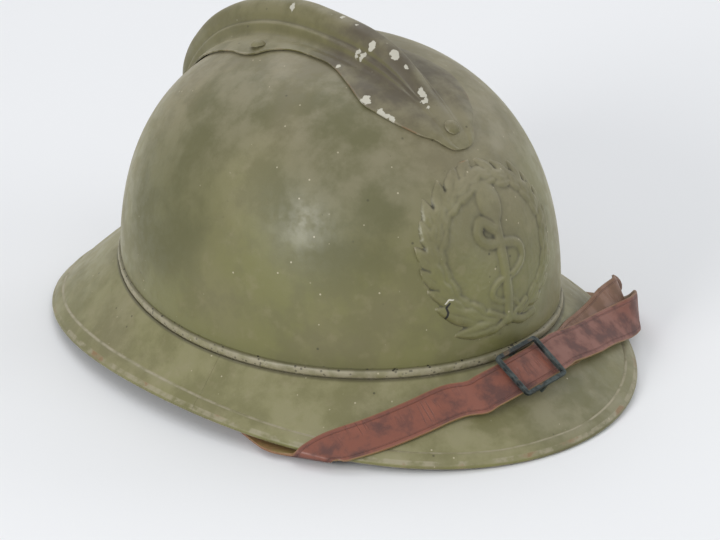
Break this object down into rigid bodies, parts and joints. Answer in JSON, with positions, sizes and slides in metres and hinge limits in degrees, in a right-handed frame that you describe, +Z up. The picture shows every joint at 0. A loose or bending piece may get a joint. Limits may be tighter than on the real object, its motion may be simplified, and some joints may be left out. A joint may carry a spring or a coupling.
{
  "type": "adrian helmet",
  "caption": "Steel helmet with a crimped two-part brim, ridge crest, openwork wreath badge and laced leather liner, its buckled chin strap worn up over the front brim.",
  "frame": {"origin": "on the table plane that the rim's lowest points stand on, under the middle of the bowl", "axes": "+Z up, the front of the helmet faces -Y, the wearer's right is -X"},
  "size_m": [0.2335, 0.3051, 0.1594],
  "materials": {
    "painted_steel": "matt khaki paint, worn and chipped",
    "strap_leather": "old red-brown leather, creased",
    "blackened_iron": "blackened iron, worn grey",
    "liner_leather": "dark brown sheepskin leather",
    "felt": "grey-brown wool cloth",
    "lace": "waxed cotton lace",
    "aluminium": "dull rolled strip"
  },
  "bodies": {
    "helmet": {"bowl": "painted_steel", "front_visor": "painted_steel", "neck_guard": "painted_steel", "crest": "painted_steel", "badge": "painted_steel", "crest_rivet_front": "painted_steel", "crest_rivet_rear": "painted_steel", "crest_rivet_left": "painted_steel", "crest_rivet_right": "painted_steel", "chin_strap_front": "strap_leather", "chin_strap_return": "strap_leather", "strap_span_right": "strap_leather", "strap_span_left": "strap_leather", "strap_span_left_inner": "strap_leather", "bail_clip_right": "blackened_iron", "bail_clip_left": "blackened_iron", "liner_tabs": "blackened_iron", "liner_leather": "liner_leather", "liner_felt": "felt", "liner_lace": "lace", "spacer_front": "aluminium", "spacer_rear": "aluminium", "spacer_left": "aluminium", "spacer_right": "aluminium"},
    "buckle": {"buckle": "blackened_iron"},
    "bail_right": {"bail_right": "blackened_iron", "strap_loop_right": "strap_leather"},
    "bail_left": {"bail_left": "blackened_iron", "strap_loop_left": "strap_leather"}
  },
  "joints": [
    {"name": "buckle_slide", "type": "hinge", "parent": "helmet", "child": "buckle", "pos_m": [-0.00498, -0.04198, -0.02737], "axis": [-0.0884, 0.5528, 0.8286], "range_deg": [-10, 12], "deforming": ["chin_strap_return"]},
    {"name": "bail_right_swing", "type": "hinge", "parent": "helmet", "child": "bail_right", "pos_m": [-0.0888, 0, 0.0352], "axis": [0, -1, 0], "range_deg": [0, 35], "deforming": ["strap_span_right"]},
    {"name": "bail_left_swing", "type": "hinge", "parent": "helmet", "child": "bail_left", "pos_m": [0.0888, 0, 0.0352], "axis": [0, 1, 0], "range_deg": [0, 35], "deforming": ["strap_span_left", "strap_span_left_inner"]}
  ]
}
